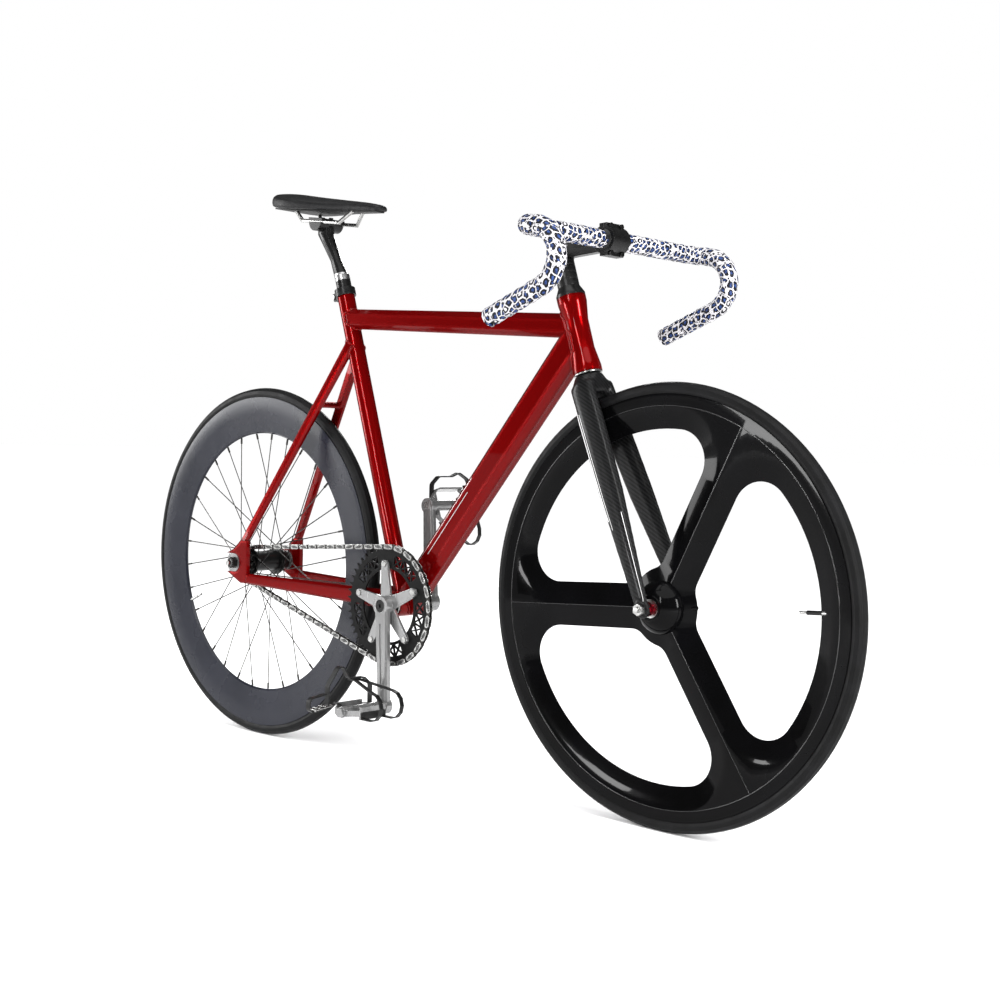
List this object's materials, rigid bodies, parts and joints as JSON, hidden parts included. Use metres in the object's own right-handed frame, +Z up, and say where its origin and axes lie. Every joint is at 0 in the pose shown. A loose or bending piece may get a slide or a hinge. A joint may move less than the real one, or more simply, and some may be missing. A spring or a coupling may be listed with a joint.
{
  "type": "fixed gear bicycle",
  "caption": "Fixed gear track bicycle: faceted red frame, black fork, broad-spoked front wheel, deep rear rim, taped drop bar, cranks with chain drive, pedals with toe clips and straps.",
  "frame": {"origin": "on the ground, midway between the two wheel axles, in the bicycle's middle plane", "axes": "+X forward, +Y to the rider's left, +Z up; the chain is on the -Y side"},
  "size_m": [1.633, 0.4484, 1.0317],
  "materials": {
    "frame_red": "gloss",
    "fork_black": "gloss",
    "wheel_black": "gloss",
    "rim_slate": "satin",
    "tyre_black": "matte",
    "part_black": "satin",
    "part_silver": "satin",
    "steel": "satin",
    "steel_dark": "satin",
    "anodised_red": "gloss",
    "tape_leopard": "matte",
    "plastic_black": "matte",
    "strap_black": "satin",
    "saddle_black": "satin"
  },
  "bodies": {
    "frame": {"head_tube": "frame_red", "top_tube": "frame_red", "down_tube": "frame_red", "seat_tube": "frame_red", "bottom_bracket_shell": "frame_red", "chainstays": "frame_red", "seatstays": "frame_red", "dropouts": "frame_red", "dropout_inserts": "part_silver", "seat_collar": "part_black", "headset_bearings": "steel", "bottom_bracket_bearings": "steel", "rear_axle": "steel", "rear_axle_nuts": "part_black", "chain_outer_links": "steel", "chain_inner_links": "steel_dark"},
    "steering": {"fork": "fork_black", "crown_race": "steel", "headset_top_cover": "part_black", "headset_spacers": "part_black", "stem": "part_black", "stem_faceplate": "part_black", "stem_bolts": "part_black", "top_cap": "part_black", "front_axle": "steel", "front_axle_nuts": "part_black", "front_axle_cones": "anodised_red"},
    "handlebar": {"handlebar": "part_black", "bar_tape": "tape_leopard", "bar_end_plugs": "plastic_black"},
    "front_wheel": {"front_wheel_shell": "wheel_black", "front_hub_bearings": "steel", "front_tyre": "tyre_black", "front_valve": "steel"},
    "rear_wheel": {"rear_rim": "rim_slate", "rear_tyre": "tyre_black", "rear_valve": "steel", "rear_hub_shell": "part_black", "rear_hub_bearings": "steel", "rear_spokes": "steel", "rear_cog": "steel", "cog_lockring": "steel"},
    "crankset": {"crank_arm_right": "part_silver", "crank_arm_left": "part_silver", "chainring": "part_black", "chainring_bolts": "part_silver", "bottom_bracket_spindle": "steel", "crank_bolts": "part_black", "pedal_axles": "steel"},
    "pedal_right": {"pedal_body_right": "part_silver", "toe_clip_right": "plastic_black", "toe_strap_right": "strap_black"},
    "pedal_left": {"pedal_body_left": "part_silver", "toe_clip_left": "plastic_black", "toe_strap_left": "strap_black"},
    "seatpost": {"seatpost": "part_black"},
    "saddle_clamp": {"saddle_clamp": "part_black"},
    "saddle": {"saddle_shell": "plastic_black", "saddle_cover": "saddle_black", "saddle_rails": "steel"}
  },
  "joints": [
    {"name": "steering_turn", "type": "hinge", "parent": "frame", "child": "steering", "pos_m": [0.44068, 0, 0.32055], "axis": [-0.3057, 0, 0.9521], "range_deg": [-70, 70]},
    {"name": "handlebar_roll", "type": "hinge", "parent": "steering", "child": "handlebar", "pos_m": [0.36429, 0, 0.88391], "axis": [0, 1, 0], "range_deg": [-10, 10]},
    {"name": "front_wheel_spin", "type": "hinge", "parent": "steering", "child": "front_wheel", "pos_m": [0.48257, 0, 0.334], "axis": [0, 1, 0], "continuous": true},
    {"name": "rear_wheel_spin", "type": "hinge", "parent": "frame", "child": "rear_wheel", "pos_m": [-0.48257, 0, 0.334], "axis": [0, 1, 0], "continuous": true, "deforming": ["chain_outer_links", "chain_inner_links"]},
    {"name": "crank_spin", "type": "hinge", "parent": "frame", "child": "crankset", "pos_m": [-0.07243, 0, 0.2884], "axis": [0, 1, 0], "continuous": true},
    {"name": "pedal_right_spin", "type": "hinge", "parent": "crankset", "child": "pedal_right", "pos_m": [-0.05466, 0, 0.11933], "axis": [0, 1, 0], "continuous": true},
    {"name": "pedal_left_spin", "type": "hinge", "parent": "crankset", "child": "pedal_left", "pos_m": [-0.0902, 0, 0.45747], "axis": [0, 1, 0], "continuous": true},
    {"name": "seatpost_height", "type": "slide", "parent": "frame", "child": "seatpost", "axis": [-0.3024, 0, 0.9532], "range_m": [-0.02, 0.08]},
    {"name": "saddle_tilt", "type": "hinge", "parent": "seatpost", "child": "saddle_clamp", "pos_m": [-0.30832, 0, 0.96898], "axis": [0, 1, 0], "range_deg": [-10, 10]},
    {"name": "saddle_slide", "type": "slide", "parent": "saddle_clamp", "child": "saddle", "axis": [0.9925, 0, -0.1219], "range_m": [-0.012, 0.012]}
  ],
  "couplings": [
    {"joint": "crank_spin", "follows": "rear_wheel_spin", "ratio": 0.28}
  ]
}
